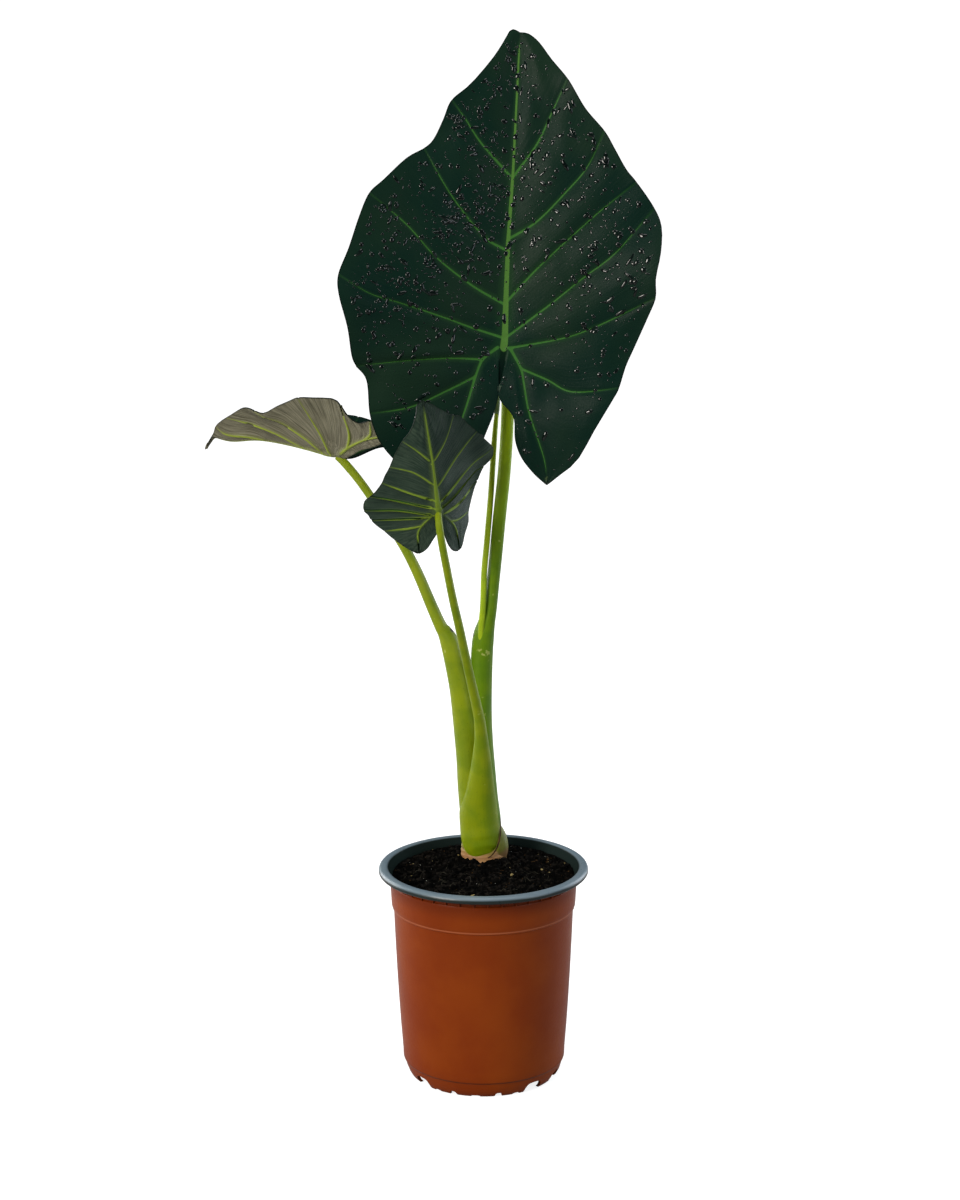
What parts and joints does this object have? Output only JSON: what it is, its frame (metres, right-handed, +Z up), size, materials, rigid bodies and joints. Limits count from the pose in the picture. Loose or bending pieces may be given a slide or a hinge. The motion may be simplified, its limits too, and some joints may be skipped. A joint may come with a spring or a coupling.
{
  "type": "potted regal shields alocasia",
  "caption": "Young upright aroid house plant in a round nursery pot: a large dark arrow-shaped leaf, smaller leaves on wrapped stalks, and a rolled new leaf.",
  "frame": {"origin": "middle of the pot's underside, on the surface that the pot stands on", "axes": "+Z up the pot's axis, -Y the side the plant is seen from, +X to the viewer's right"},
  "size_m": [0.3037, 0.1893, 0.6903],
  "materials": {
    "pot": "thin moulded terracotta plastic, satin, with a dull blue-grey rim and inside",
    "soil": "moist, nearly black peat with brown crumbs",
    "corm": "waxy beige to pink skin with a brown scar line",
    "stalk": "smooth waxy yellow-green, darker on the shaded side",
    "blade_upper": "leathery very dark green with paler veins, satin, beaded with water",
    "blade_under": "matt grey-brown to blue-green underside with raised yellow-green veins",
    "young_leaf": "rolled grey-green young leaf, satin"
  },
  "bodies": {
    "root": {"pot": "pot", "soil": "soil", "corm": "corm", "stalk_big": "stalk", "blade_big": "blade_upper", "stalk_front": "stalk", "blade_front": "blade_under", "stalk_left": "stalk", "blade_left": "blade_under", "stalk_young": "stalk", "blade_young": "young_leaf"}
  },
  "joints": []
}
